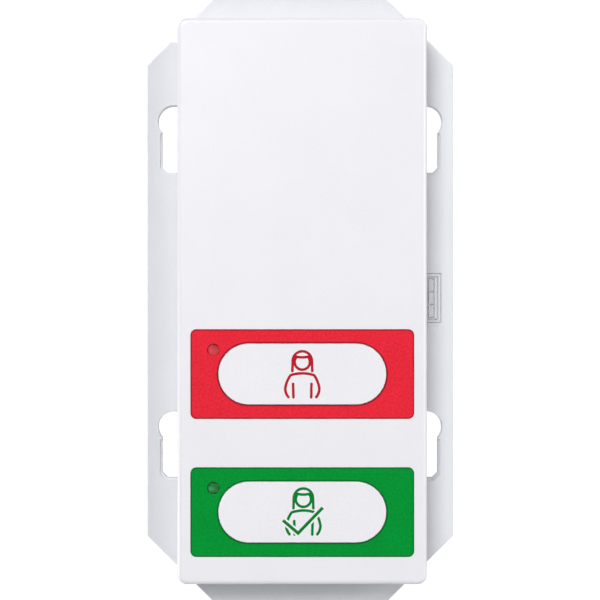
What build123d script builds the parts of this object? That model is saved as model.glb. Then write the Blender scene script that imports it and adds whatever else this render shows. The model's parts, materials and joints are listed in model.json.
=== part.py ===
from build123d import *
import math
import os

# Two-gang wall call unit with two push buttons, in millimetres.
# X runs to the right, Y into the wall, Z up. The support plate lies on the wall at Y = 0,
# with its centre at the origin, so everything seen from the room has a negative Y.

# ---- driving dimensions ----
BOX_PITCH = 71.0  # centre distance of two flush boxes set one above the other
PLATE_WIDTH = 71.0
PLATE_HEIGHT = 2 * BOX_PITCH
PLATE_THICK = 2.0
PLATE_CHAMFER = 16.4  # leg of the 45 degree cut at each corner
PLATE_EDGE_RADIUS = 0.2
COVER_WIDTH = 56.0
COVER_HEIGHT = BOX_PITCH + COVER_WIDTH
COVER_RISE = 11.0  # front of the cover above the front of the plate
COVER_WALL = 1.8
COVER_FRONT_WALL = 2.2
COVER_EDGE_RADIUS = 1.1  # between the front and the side walls
FIELD_WIDTH = 50.0
FIELD_HEIGHT = 20.0
FIELD_THICK = 0.6
FIELD_CENTRES = {"call": -16.3, "presence": -47.2}  # heights of the red and the green field
KEY_WIDTH = 37.6
KEY_HEIGHT = 13.65
KEY_GAP = 0.12  # all round the key in its window
KEY_TRAVEL = 0.8
WINDOW_RADIUS = 1.4  # signal light window
WINDOW_OFFSET = (-19.9, 5.4)  # from the field's centre
SYMBOL_STROKE = 0.6
SYMBOL_DEPTH = 0.3
TICK_STROKE = 0.7
BOARD_THICK = 1.6
HOUSING_WIDTH = 44.0
HOUSING_CORNER = 17.0
HOUSING_WALL = 1.6
HOUSING_DEPTH = 18.0
TERMINAL_PITCH = 5.08
TERMINAL_WAYS = 5

# ---- levels along Y, from the room into the wall ----
FRONT = -PLATE_THICK - COVER_RISE
COVER_INSIDE = FRONT + COVER_FRONT_WALL
COVER_REAR = -PLATE_THICK - 0.2
FIELD_REAR = FRONT + FIELD_THICK
FLANGE_FRONT = COVER_INSIDE + 0.1
FLANGE_REAR = FLANGE_FRONT + 1.2
CARRIER_FRONT = -8.2
CARRIER_REAR = -7.0
POCKET_FLOOR = -5.4  # the return springs stand here
POCKET_REAR = -4.6
BOARD_FRONT = -4.2
BOARD_REAR = BOARD_FRONT + BOARD_THICK
PLATE_FRONT = -PLATE_THICK
SWITCH_TOP = BOARD_FRONT - 2.6
STEM_TOP = SWITCH_TOP - KEY_TRAVEL - 0.1
CONTROL_FRONT = 8.0
CONTROL_REAR = CONTROL_FRONT + BOARD_THICK
HOUSING_FLOOR = HOUSING_DEPTH - HOUSING_WALL
PLUG_SHOULDER = HOUSING_DEPTH + 0.2
PLUG_REAR = PLUG_SHOULDER + 9.2

# ---- places in X and Z ----
LOWER_BOX = -BOX_PITCH / 2
UPPER_BOX = BOX_PITCH / 2
KEYHOLE_X = 29.3
KEYHOLE_HEAD_RADIUS = 3.7
KEYHOLE_HEAD_RISE = 6.1  # round head above the box's centre line
KEYHOLE_SLOT_HALF = 2.45
KEYHOLE_SLOT_SHIFT = 0.3  # slot further out than the head's centre
KEYHOLE_SLOT_DROP = 5.7
KEYHOLE_SEAT_HALF = 2.9  # shallow seat for the screw head along the slot
KEYHOLE_SEAT_DEPTH = 0.5
GUIDE_X = 15.0  # guide posts of a key, left and right
POST_RADIUS = 1.2
SPRING_RADIUS = 1.9
SPRING_WIRE = 0.4
CARRIER_SCREWS = [(-19, -4.8), (19, -4.8), (-19, -57.6), (19, -57.6)]
LOCATING_PEGS = [(-19, -31.85), (19, -31.85)]
BOARD_SCREWS = [(-19.5, -6.5), (19.5, -6.5), (-19.5, -55.8), (19.5, -55.8)]
CONTROL_SCREWS = [(-14, LOWER_BOX - 14.5), (14, LOWER_BOX + 14.5)]
BOARD_WIDTH = 44.0
BOARD_HEIGHT = 55.1
BOARD_CENTRE = (0, -31.05)
HEADER_CENTRE = (0, -26.0)
TERMINAL_CENTRE = (0, -43.0)
TERMINAL_WIDTH = TERMINAL_PITCH * TERMINAL_WAYS
CLIP_X = 14.0
RUNNING_GAP = 0.05


# ---- helpers ----
def at(x, z, sketch):
    return Pos(x, z) * sketch


def slab(sketch, front, rear):
    """A shape drawn in X and Z, solid from Y = front to Y = rear."""
    return extrude(Plane.XZ.offset(-rear) * sketch, amount=rear - front)


def rod(x, z, radius, front, rear):
    return slab(at(x, z, Circle(radius)), front, rear)


def block(x, z, width, height, front, rear):
    return slab(at(x, z, Rectangle(width, height)), front, rear)


def rows(centre, columns, lines, pitch):
    """Places of a pin grid about its centre."""
    x0, z0 = centre
    return [
        (x0 + (c - (columns - 1) / 2) * pitch, z0 + (r - (lines - 1) / 2) * pitch)
        for r in range(lines)
        for c in range(columns)
    ]


def round_front(part, radius):
    """Rounds the edges of the face that looks into the room."""
    return fillet(part.faces().sort_by(Axis.Y)[0].edges(), radius)


def screw(x, z, seat, into, radius, length, head_radius, head_height):
    """Pan-head screw: the head stands on the seat, the shank runs towards into, +1 or -1 in Y."""
    tip = seat + into * length
    top = seat - into * head_height
    shank = rod(x, z, radius, min(seat, tip), max(seat, tip))
    head = rod(x, z, head_radius, min(seat, top), max(seat, top))
    crown = head.faces().sort_by(Axis.Y)[0 if into > 0 else -1]
    head = fillet(crown.edges(), head_height * 0.45)
    return shank + head - recess(x, z, top, into, head_radius, head_height)


def recess(x, z, top, into, head_radius, depth):
    """Cross recess sunk into a screw head."""
    bottom = top + into * depth * 0.6
    arm = head_radius * 1.1
    width = head_radius * 0.28
    cross = at(x, z, Rectangle(arm, width) + Rectangle(width, arm))
    return slab(cross, min(top, bottom), max(top, bottom))


# ---- symbols on the keys ----
def stroke(start, end, width=SYMBOL_STROKE):
    return SlotCenterPoint(
        center=((start[0] + end[0]) / 2, (start[1] + end[1]) / 2),
        point=end,
        height=width,
    )


def curved_stroke(start, middle, end):
    return SlotArc(ThreePointArc(start, middle, end), height=SYMBOL_STROKE)


def bar(start, end, width, overrun):
    """Straight stroke with square ends, run on past its second point."""
    dx, dz = end[0] - start[0], end[1] - start[1]
    length = math.hypot(dx, dz) + overrun
    shape = Pos(length / 2, 0) * Rectangle(length, width)
    return Pos(*start) * Rot(Z=math.degrees(math.atan2(dz, dx))) * shape


def person():
    """Outline figure: hair, fringe, empty face, shoulders, arms and sides."""
    figure = curved_stroke((-2.15, 2.95), (0, 5.1), (2.15, 2.95))
    figure += curved_stroke((-1.7, 4.02), (0, 3.74), (1.7, 4.02))
    figure += curved_stroke((-1.3, 3.8), (0, 0.98), (1.3, 3.8))
    figure += curved_stroke((-2.62, -0.25), (0, 0.18), (2.62, -0.25))
    for side in (-1, 1):
        figure += stroke((side * 2.15, 2.95), (side * 2.22, 0.68))
        figure += curved_stroke((side * 2.62, -0.25), (side * 3.42, -1.7), (side * 3.82, -3.3))
        figure += curved_stroke((side * 3.82, -3.3), (side * 3.64, -4.25), (side * 3.12, -5.15))
        figure += stroke((side * 2.06, -2.19), (side * 1.98, -5.2))
    return figure


def tick(width):
    start, low, high = (-4.35, -1.82), (-0.94, -4.70), (4.58, 1.01)
    return bar(start, low, width, width / 2) + bar(high, low, width, width / 2)


def symbol_sketch(name):
    if name == "call":
        return person()
    clear = tick(TICK_STROKE + 0.76)
    return at(0.24, 0.2, person()) - clear + tick(TICK_STROKE)


# ---- support plate on the wall ----
def plate_outline():
    w, h = PLATE_WIDTH / 2, PLATE_HEIGHT / 2
    low = h - PLATE_CHAMFER
    narrow = w - PLATE_CHAMFER
    notch_level, notch_end = 60.0, -26.0
    notch_start = notch_level - low - w
    corners = [(narrow, h), (w, low), (w, -low), (narrow, -h), (-narrow, -h), (-w, -low), (-w, low)]
    notch = [(notch_start, notch_level), (notch_end, notch_level), (notch_end, notch_end + w + low)]
    return make_face(Polyline(*corners, *notch, (-narrow, h), close=True))


def slot_shape(side, half, top, bottom, cut):
    """Slot below a keyhole's head, with its lower corners cut off; side is -1 or +1."""
    points = [(-half, top), (half, top), (half, bottom + cut), (half - cut, bottom)]
    points += [(cut - half, bottom), (-half, bottom + cut)]
    return at(side * KEYHOLE_SLOT_SHIFT, 0, make_face(Polyline(*points, close=True)))


def keyhole(side):
    head = at(0, KEYHOLE_HEAD_RISE, Circle(KEYHOLE_HEAD_RADIUS))
    return head + slot_shape(side, KEYHOLE_SLOT_HALF, KEYHOLE_HEAD_RISE, -KEYHOLE_SLOT_DROP, 1.2)


def keyhole_seat(side):
    neck = KEYHOLE_HEAD_RISE - (KEYHOLE_HEAD_RADIUS**2 - KEYHOLE_SLOT_HALF**2) ** 0.5
    return slot_shape(side, KEYHOLE_SEAT_HALF, neck, -KEYHOLE_SLOT_DROP - 0.6, 1.5)


def frame_line(width, height, line):
    return Rectangle(width, height) - Rectangle(width - 2 * line, height - 2 * line)


def moulding_mark():
    """Plain grid of moulded lines at the plate's right edge, with no lettering."""
    right, middle, line = 32.8, 0.6, 0.25
    marks = at(right - 5, middle, frame_line(10, 11.6, line))
    marks += at(right - 5.75, middle, frame_line(10, 10.1, line))
    for index in range(3):
        marks += at(30.4, middle + 3 * (index - 1), frame_line(1.6, 3 + line, line))
    return marks


def housing_outline(growth):
    """Outline of the cup that reaches into the lower flush box."""
    width = HOUSING_WIDTH + 2 * growth
    return at(0, LOWER_BOX, RectangleRounded(width, width, HOUSING_CORNER + growth))


def support_plate():
    outline = plate_outline()
    seats = Sketch()
    for side in (-1, 1):
        for z in (LOWER_BOX, UPPER_BOX):
            outline -= at(side * KEYHOLE_X, z, keyhole(side))
            seats += at(side * KEYHOLE_X, z, keyhole_seat(side))
    plate = round_front(slab(outline, PLATE_FRONT, 0), PLATE_EDGE_RADIUS)
    openings = at(0, UPPER_BOX, RectangleRounded(40, 38, 5)) + housing_outline(0.1)
    plate -= slab(openings, PLATE_FRONT - 1, 1)
    plate -= slab(seats, PLATE_FRONT, PLATE_FRONT + KEYHOLE_SEAT_DEPTH)
    plate -= slab(moulding_mark(), PLATE_FRONT, PLATE_FRONT + 0.4)
    rim = RectangleRounded(43, 41, 6.5) - RectangleRounded(40, 38, 5)
    plate += slab(at(0, UPPER_BOX, rim), PLATE_FRONT - 1.2, PLATE_FRONT)
    for x in (-22.6, 22.6):
        plate += block(x, UPPER_BOX - 27.5, 1.2, 9, PLATE_FRONT - 3, PLATE_FRONT)
    for x, z in BOARD_SCREWS:
        plate -= rod(x, z, 0.9, PLATE_FRONT, 0)
    return plate


# ---- cover ----
def key_window():
    return SlotOverall(KEY_WIDTH + 2 * KEY_GAP, KEY_HEIGHT + 2 * KEY_GAP)


def cover_ribs():
    """Stiffening ribs behind the plain upper half of the front wall."""
    ribs = Sketch()
    for x in (-17.5, 0, 17.5):
        ribs += at(x, 29.5, Rectangle(1.0, 60.0))
    for z in (12, 36):
        ribs += at(0, z, Rectangle(52.4, 1.0))
    return slab(ribs, COVER_INSIDE - 0.2, COVER_INSIDE + 2.2)


def front_cover():
    shell = slab(RectangleRounded(COVER_WIDTH, COVER_HEIGHT, 2.0), FRONT, COVER_REAR)
    shell = round_front(shell, COVER_EDGE_RADIUS)
    inner = RectangleRounded(COVER_WIDTH - 2 * COVER_WALL, COVER_HEIGHT - 2 * COVER_WALL, 0.8)
    shell -= slab(inner, COVER_INSIDE, COVER_REAR)
    shell += cover_ribs()
    for x, z in CARRIER_SCREWS:
        shell += rod(x, z, 2.3, COVER_INSIDE - 0.2, CARRIER_FRONT)
        shell -= rod(x, z, 0.9, COVER_INSIDE, CARRIER_FRONT)
    for x, z in LOCATING_PEGS:
        shell += rod(x, z, 1.5, COVER_INSIDE - 0.2, CARRIER_REAR + 0.5)
    for height in FIELD_CENTRES.values():
        field = RectangleRounded(FIELD_WIDTH + 0.1, FIELD_HEIGHT + 0.1, 1.35)
        shell -= slab(at(0, height, field), FRONT, FIELD_REAR)
        holes = key_window() + at(*WINDOW_OFFSET, Circle(WINDOW_RADIUS + 0.05))
        shell -= slab(at(0, height, holes), FRONT, COVER_INSIDE)
    return shell


def field(height):
    """Coloured inlay round the key, flush with the cover's front."""
    shape = RectangleRounded(FIELD_WIDTH, FIELD_HEIGHT, 1.3)
    shape -= key_window() + at(*WINDOW_OFFSET, Circle(WINDOW_RADIUS))
    return slab(at(0, height, shape), FRONT, FIELD_REAR)


def light_guide(height):
    """Clear rod from the signal light to the window in the field."""
    x, z = WINDOW_OFFSET[0], height + WINDOW_OFFSET[1]
    tip = round_front(rod(x, z, WINDOW_RADIUS, FIELD_REAR + 0.05, COVER_INSIDE), 0.3)
    shank = rod(x, z, 1.2, COVER_INSIDE, BOARD_FRONT - 1.7)
    return tip + shank + rod(x, z, 1.5, CARRIER_FRONT - 0.6, CARRIER_FRONT)


def key_carrier():
    """Guide plate behind the keys, with spring pockets and holes for the plungers."""
    carrier = slab(at(0, -30.9, RectangleRounded(46, 57.8, 2)), CARRIER_FRONT, CARRIER_REAR)
    for height in FIELD_CENTRES.values():
        for x in (-GUIDE_X, GUIDE_X):
            carrier += rod(x, height, 3.3, CARRIER_REAR, POCKET_REAR)
            carrier -= rod(x, height, 2.6, CARRIER_FRONT, POCKET_FLOOR)
            carrier -= rod(x, height, POST_RADIUS + RUNNING_GAP, POCKET_FLOOR, POCKET_REAR)
        carrier -= rod(0, height, 2.4, CARRIER_FRONT, CARRIER_REAR)
        x, z = WINDOW_OFFSET[0], height + WINDOW_OFFSET[1]
        carrier -= rod(x, z, 1.2, CARRIER_FRONT, CARRIER_REAR)
    for x, z in CARRIER_SCREWS:
        carrier -= rod(x, z, 1.1, CARRIER_FRONT, CARRIER_REAR)
    for x, z in LOCATING_PEGS:
        carrier -= rod(x, z, 1.5 + RUNNING_GAP, CARRIER_FRONT, CARRIER_REAR)
    for x in (-7.5, 7.5):
        carrier += block(x, -31.85, 1.0, 54, CARRIER_REAR, CARRIER_REAR + 0.9)
    return carrier


def carrier_screws():
    return [screw(x, z, CARRIER_REAR, -1, 0.88, 3.4, 1.9, 1.2) for x, z in CARRIER_SCREWS]


# ---- keys ----
def key(name):
    """Capsule key with its retaining flange, guide posts, plunger and sunk symbol."""
    height = FIELD_CENTRES[name]
    cap = slab(at(0, height, SlotOverall(KEY_WIDTH, KEY_HEIGHT)), FRONT, FLANGE_FRONT)
    cap = round_front(cap, 0.15)
    cap += slab(at(0, height, SlotOverall(KEY_WIDTH + 2.2, KEY_HEIGHT + 2.2)), FLANGE_FRONT, FLANGE_REAR)
    for x in (-GUIDE_X, GUIDE_X):
        post = rod(x, height, POST_RADIUS, FLANGE_REAR, POCKET_REAR + 0.1)
        cap += chamfer(post.faces().sort_by(Axis.Y)[-1].edges(), 0.25)
    cap += rod(0, height, 1.7, FLANGE_REAR, STEM_TOP - RUNNING_GAP)
    return cap - slab(at(0, height, symbol_sketch(name)), FRONT, FRONT + SYMBOL_DEPTH)


def symbol(name):
    sketch = at(0, FIELD_CENTRES[name], symbol_sketch(name))
    return slab(sketch, FRONT, FRONT + SYMBOL_DEPTH)


def return_springs(height):
    """Compression springs round a key's two guide posts, at rest length."""
    low, high = POCKET_FLOOR - SPRING_WIRE / 2 - 0.02, FLANGE_REAR + SPRING_WIRE / 2 + 0.02
    length = low - high
    path = Helix(pitch=length / 4.5, height=length, radius=SPRING_RADIUS)
    section = Plane(origin=path @ 0, z_dir=path % 0) * Circle(SPRING_WIRE / 2)
    coil = sweep(section, path=path)
    return [Pos(x, low, height) * Rot(X=90) * coil for x in (-GUIDE_X, GUIDE_X)]


# ---- button board in front of the plate ----
def header_pins():
    return [
        block(x, z, 0.64, 0.64, BOARD_FRONT - 0.7, 5.0) for x, z in rows(HEADER_CENTRE, 5, 2, 2.54)
    ]


def button_board(pins):
    outline = at(*BOARD_CENTRE, RectangleRounded(BOARD_WIDTH, BOARD_HEIGHT, 1.5))
    for height in FIELD_CENTRES.values():
        for x in (-GUIDE_X, GUIDE_X):
            outline -= at(x, height, Circle(1.8))
    for x, z in BOARD_SCREWS:
        outline -= at(x, z, Circle(1.1))
    board = slab(outline, BOARD_FRONT, BOARD_REAR)
    for pin in pins:
        board -= pin
    return board


def board_screws():
    return [screw(x, z, BOARD_FRONT, 1, 0.88, 4.0, 1.9, 1.1) for x, z in BOARD_SCREWS]


def switch_body(height):
    """Short-travel switch: plastic base under a pressed metal cover."""
    base = block(0, height, 6.2, 6.2, SWITCH_TOP, BOARD_FRONT)
    base = chamfer(base.edges().filter_by(Axis.Y), 0.6)
    for x in (-2.3, 2.3):
        for z in (-2.3, 2.3):
            base += rod(x, height + z, 0.4, SWITCH_TOP - 0.15, SWITCH_TOP)
    for x in (-3.6, 3.6):
        for z in (-2.2, 2.2):
            base += block(x, height + z, 1.4, 0.7, BOARD_FRONT - 0.25, BOARD_FRONT)
    return base - rod(0, height, 1.6, SWITCH_TOP, SWITCH_TOP + 1.4)


def switch_stem(height):
    stem = rod(0, height, 1.6 - RUNNING_GAP, STEM_TOP, SWITCH_TOP + 0.5)
    return round_front(stem, 0.2)


def signal_light(height):
    """Surface-mounted lamp under its light guide."""
    x, z = WINDOW_OFFSET[0], height + WINDOW_OFFSET[1]
    lamp = block(x, z, 3.4, 2.8, BOARD_FRONT - 1.1, BOARD_FRONT)
    lamp = chamfer(lamp.edges().filter_by(Axis.Y), 0.3)
    dome = round_front(rod(x, z, 1.05, BOARD_FRONT - 1.5, BOARD_FRONT - 1.1), 0.2)
    return lamp + dome


def chip(x, z, width, height, front, rear, leads):
    """Integrated circuit: body with a row of legs on both long sides."""
    inner = front + 0.2 if front < rear else front - 0.2
    body = block(x, z, width, height, min(front, inner), max(front, rear))
    for index in range(leads):
        offset = (index - (leads - 1) / 2) * 1.27
        for side in (-1, 1):
            leg_z = z + side * (height / 2 + 0.45)
            body += block(x + offset, leg_z, 0.42, 0.9, rear - 0.35, rear)
    return body


def board_parts():
    """Resistors and small capacitors soldered to the front of the button board."""
    places = [(x, z) for z in (-25.2, -27.6, -30.0) for x in (-13.5, -10.5, 10.5, 13.5)]
    places += [(x, -36.5) for x in (-15.0, -12.0, -9.0, 9.0, 12.0, 15.0)]
    parts = []
    for x, z in places:
        parts.append(block(x, z, 2.0, 1.25, BOARD_FRONT - 0.5, BOARD_FRONT))
    return parts


def header_block(pins):
    body = block(*HEADER_CENTRE, 13.2, 5.4, BOARD_REAR, BOARD_REAR + 2.4)
    body = chamfer(body.edges().filter_by(Axis.Y), 0.5)
    for pin in pins:
        body -= pin
    return body


# ---- electronics in the lower flush box ----
def rear_housing():
    """Cup with a thin collar under the button board, board pillars and a terminal window."""
    inner = housing_outline(-HOUSING_WALL)
    cup = slab(housing_outline(0), PLATE_FRONT, HOUSING_DEPTH)
    cup = fillet(cup.faces().sort_by(Axis.Y)[-1].edges(), 1.0)
    collar = at(*BOARD_CENTRE, RectangleRounded(BOARD_WIDTH, BOARD_HEIGHT, 1.5))
    cup += slab(collar, BOARD_REAR, PLATE_FRONT)
    cup -= slab(inner, BOARD_REAR, HOUSING_FLOOR)
    for x, z in BOARD_SCREWS:
        cup -= rod(x, z, 1.1, BOARD_REAR, PLATE_FRONT)
    for x, z in CONTROL_SCREWS:
        cup += rod(x, z, 2.2, CONTROL_REAR, HOUSING_FLOOR)
        cup -= rod(x, z, 0.9, CONTROL_REAR, HOUSING_FLOOR - 1)
    cup -= block(*TERMINAL_CENTRE, TERMINAL_WIDTH + 2.6, 9.6, HOUSING_FLOOR, HOUSING_DEPTH)
    for index in range(6):
        cup -= block(4 * index - 10, -25.0, 1.4, 9, HOUSING_FLOOR, HOUSING_DEPTH)
    return cup


def terminal_pins():
    return [
        block(x, z, 1.0, 1.0, CONTROL_FRONT - 1.2, 16.0)
        for x, z in rows(TERMINAL_CENTRE, TERMINAL_WAYS, 1, TERMINAL_PITCH)
    ]


def control_board(pins):
    outline = housing_outline(-HOUSING_WALL - 0.4)
    for x, z in CONTROL_SCREWS:
        outline -= at(x, z, Circle(1.1))
    board = slab(outline, CONTROL_FRONT, CONTROL_REAR)
    for pin in pins:
        board -= pin
    return board


def control_screws():
    return [screw(x, z, CONTROL_FRONT, 1, 0.88, 5.0, 1.9, 1.2) for x, z in CONTROL_SCREWS]


def socket_strip():
    """Socket on the control board that takes the pins of the button board."""
    strip = block(*HEADER_CENTRE, 13.2, 5.4, 0.6, CONTROL_FRONT)
    for x, z in rows(HEADER_CENTRE, 5, 2, 2.54):
        strip -= block(x, z, 0.9, 0.9, 0.6, 5.6)
    return strip


def capacitor(x, z):
    can = rod(x, z, 3.15, CONTROL_FRONT - 6.6, CONTROL_FRONT - 0.4)
    can = round_front(can, 0.4)
    groove = at(x, z, Circle(3.15) - Circle(2.95))
    can -= slab(groove, CONTROL_FRONT - 1.9, CONTROL_FRONT - 1.5)
    return can + block(x, z, 6.6, 6.6, CONTROL_FRONT - 0.4, CONTROL_FRONT)


def sounder():
    """Round acoustic signaller with its sound hole."""
    x, z = 11.5, LOWER_BOX
    case = round_front(rod(x, z, 5.0, CONTROL_FRONT - 5.0, CONTROL_FRONT), 0.4)
    return case - rod(x, z, 0.8, CONTROL_FRONT - 5.0, CONTROL_FRONT - 3.5)


def terminal_header(pins):
    """Shroud on the control board, open to the rear for the terminal plug."""
    x, z = TERMINAL_CENTRE
    shroud = block(x, z, TERMINAL_WIDTH + 2.2, 9.2, CONTROL_REAR, HOUSING_DEPTH - 0.4)
    shroud -= block(x, z, TERMINAL_WIDTH + 0.5, 7.0, CONTROL_REAR + 1.6, HOUSING_DEPTH - 0.4)
    for pin in pins:
        shroud -= pin
    return shroud


# ---- plug-in terminal ----
def terminal_places():
    return [x for x, z in rows(TERMINAL_CENTRE, TERMINAL_WAYS, 1, TERMINAL_PITCH)]


def clamp_block(x):
    """Brass cage that pulls a wire against the contact, open to the rear."""
    z = TERMINAL_CENTRE[1] - 0.4
    cage = block(x, z, 3.9, 4.6, PLUG_SHOULDER + 1.0, PLUG_SHOULDER + 6.0)
    return cage - block(x, z - 0.2, 2.9, 2.9, PLUG_SHOULDER + 1.0, PLUG_SHOULDER + 6.0)


def terminal_screw(x):
    """Slotted clamping screw, turned from above."""
    z = TERMINAL_CENTRE[1]
    level = z + 1.9
    middle = PLUG_SHOULDER + 3.5
    body = Pos(x, middle, level + 1.1) * Cylinder(1.45, 2.2)
    return body - Pos(x, middle, level + 2.0) * Box(0.5, 3.0, 0.5)


def terminal_plug():
    x0, z0 = TERMINAL_CENTRE
    nose = block(x0, z0, TERMINAL_WIDTH, 6.4, CONTROL_REAR + 2.0, PLUG_SHOULDER)
    plug = nose + block(x0, z0, TERMINAL_WIDTH + 0.6, 10.4, PLUG_SHOULDER, PLUG_REAR)
    for x in terminal_places():
        plug -= block(x, z0, 1.4, 1.4, CONTROL_REAR + 2.0, PLUG_SHOULDER + 1.0)
        plug -= block(x, z0 - 0.4, 3.9, 4.6, PLUG_SHOULDER + 1.0, PLUG_SHOULDER + 6.0)
        plug -= block(x, z0 - 0.6, 3.0, 3.0, PLUG_SHOULDER + 6.0, PLUG_REAR)
        plug -= Pos(x, PLUG_SHOULDER + 3.5, z0 + 3.9) * Cylinder(1.6, 4.0)
    for index in range(TERMINAL_WAYS - 1):
        x = (terminal_places()[index] + terminal_places()[index + 1]) / 2
        plug -= block(x, z0 + 5.0, 0.5, 0.4, PLUG_SHOULDER, PLUG_REAR)
        plug -= block(x, z0 - 5.0, 0.5, 0.4, PLUG_SHOULDER, PLUG_REAR)
    return plug


# ---- spring clips that hold the cover ----
def cover_clip(x, side):
    """Leaf spring on the plate whose bulge grips the cover's end wall."""
    wall = COVER_HEIGHT / 2 - COVER_WALL
    foot_level, thick = PLATE_FRONT - 0.2, 0.4
    bend = wall - 0.75
    profile = SlotCenterPoint((foot_level, bend - 1.0), (foot_level, bend), thick)
    profile += SlotCenterPoint(((foot_level - 3.4) / 2, bend), (foot_level, bend), thick)
    profile += SlotArc(
        ThreePointArc((-3.4, bend), (-5.2, wall - 0.2 - RUNNING_GAP), (-7.0, bend - 0.2)), thick
    )
    if side < 0:
        profile = mirror(profile, about=Plane.XZ)
    return extrude(Plane.YZ.offset(x - 4) * profile, amount=8)


def cover_clips():
    return [cover_clip(x, side) for x in (-CLIP_X, CLIP_X) for side in (-1, 1)]


# ---- assembly ----
def assembly():
    pins = header_pins()
    contacts = terminal_pins()
    nodes = {
        "support_plate": [support_plate()],
        "cover_clips": cover_clips(),
        "front_cover": [front_cover()],
        "key_carrier": [key_carrier()],
        "carrier_screws": carrier_screws(),
        "button_board": [button_board(pins)],
        "board_screws": board_screws(),
        "board_chip": [chip(0, -35.5, 8.6, 3.9, BOARD_FRONT - 1.5, BOARD_FRONT, 6)],
        "board_parts": board_parts(),
        "header_pins": pins,
        "header_block": [header_block(pins)],
        "rear_housing": [rear_housing()],
        "control_board": [control_board(contacts)],
        "control_screws": control_screws(),
        "control_chip": [chip(-12.5, -28.0, 9.0, 6.0, CONTROL_FRONT - 1.6, CONTROL_FRONT, 6)],
        "capacitors": [capacitor(-14.2, -37.5), capacitor(-5.5, -37)],
        "sounder": [sounder()],
        "socket_strip": [socket_strip()],
        "terminal_header": [terminal_header(contacts)],
        "terminal_pins": contacts,
        "terminal_plug": [terminal_plug()],
        "terminal_clamps": [clamp_block(x) for x in terminal_places()],
        "terminal_screws": [terminal_screw(x) for x in terminal_places()],
    }
    for name, height in FIELD_CENTRES.items():
        nodes[name + "_field"] = [field(height)]
        nodes[name + "_key"] = [key(name)]
        nodes[name + "_symbol"] = symbol(name).solids()
        nodes[name + "_springs"] = return_springs(height)
        nodes[name + "_light_guide"] = [light_guide(height)]
        nodes[name + "_signal_light"] = [signal_light(height)]
        nodes[name + "_switch"] = [switch_body(height)]
        nodes[name + "_switch_stem"] = [switch_stem(height)]
    return nodes


def main():
    os.makedirs("parts", exist_ok=True)
    for name, shapes in assembly().items():
        shape = shapes[0] if len(shapes) == 1 else Compound(children=list(shapes))
        export_step(shape, f"parts/{name}.step")


main()
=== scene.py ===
import json
import math

import bmesh
import bpy
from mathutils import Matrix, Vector


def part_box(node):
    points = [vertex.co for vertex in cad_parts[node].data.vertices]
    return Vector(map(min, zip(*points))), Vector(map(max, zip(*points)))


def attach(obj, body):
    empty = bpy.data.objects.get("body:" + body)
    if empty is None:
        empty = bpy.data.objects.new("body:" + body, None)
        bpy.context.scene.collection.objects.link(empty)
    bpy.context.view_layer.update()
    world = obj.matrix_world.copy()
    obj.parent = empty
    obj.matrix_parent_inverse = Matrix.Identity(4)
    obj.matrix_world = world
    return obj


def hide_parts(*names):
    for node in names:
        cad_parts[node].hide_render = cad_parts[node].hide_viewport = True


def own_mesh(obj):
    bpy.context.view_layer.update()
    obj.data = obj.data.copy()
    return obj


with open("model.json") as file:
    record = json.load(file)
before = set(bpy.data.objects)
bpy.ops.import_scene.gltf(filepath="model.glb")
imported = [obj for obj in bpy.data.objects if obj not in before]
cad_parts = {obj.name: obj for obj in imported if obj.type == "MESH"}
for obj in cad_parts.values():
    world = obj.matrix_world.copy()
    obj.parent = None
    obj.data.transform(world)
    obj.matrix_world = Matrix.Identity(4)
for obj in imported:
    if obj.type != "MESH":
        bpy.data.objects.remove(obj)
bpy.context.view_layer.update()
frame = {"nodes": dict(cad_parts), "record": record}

NODES = frame["nodes"]
RECORD = frame["record"]
BODY_OF = {node: body for body, nodes in RECORD["behaviour"]["bodies"].items() for node in nodes}
SLOT_OF = {part["node"]: part["material_slot"] for part in RECORD["subparts"]}
MM = 0.001

# ---- view ----
CAMERA_DISTANCE = 0.300  # from the wall plane
CAMERA_X = -0.0124
CAMERA_Z = 0.0033
LENS = 76.96
SHIFT = (0.0885, -0.0225)
ROOM_LIGHT = 0.12  # level of the dim room in front of the wall
WALL_LIGHT = 0.5  # level behind the wall plane
BACKDROP = 1.06  # level of the paper that the camera sees round the object
LEVEL_CHANGE = (-0.1, 0.4)  # between these the room's level changes, as the Y of a direction
ROOM_COLOUR = (0.98, 0.985, 1.0, 1)
SOFTBOX_DISTANCE = 1.6
SOFTBOX_SIZE = (0.6, 0.6)

# ---- materials ----
GRAIN_DEPTH = 0.01 * MM
FACING_Y = 0.6  # a normal with a larger Y part belongs to a face along Y


def linear(*srgb):
    """Screen colour, 0 to 255, as the linear colour that a shader takes."""
    values = []
    for channel in srgb:
        c = channel / 255
        values.append(c / 12.92 if c <= 0.04045 else ((c + 0.055) / 1.055) ** 2.4)
    return (*values, 1.0)


def shaded(colour, factor):
    return (*(min(1.0, c * factor) for c in colour[:3]), 1.0)


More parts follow.
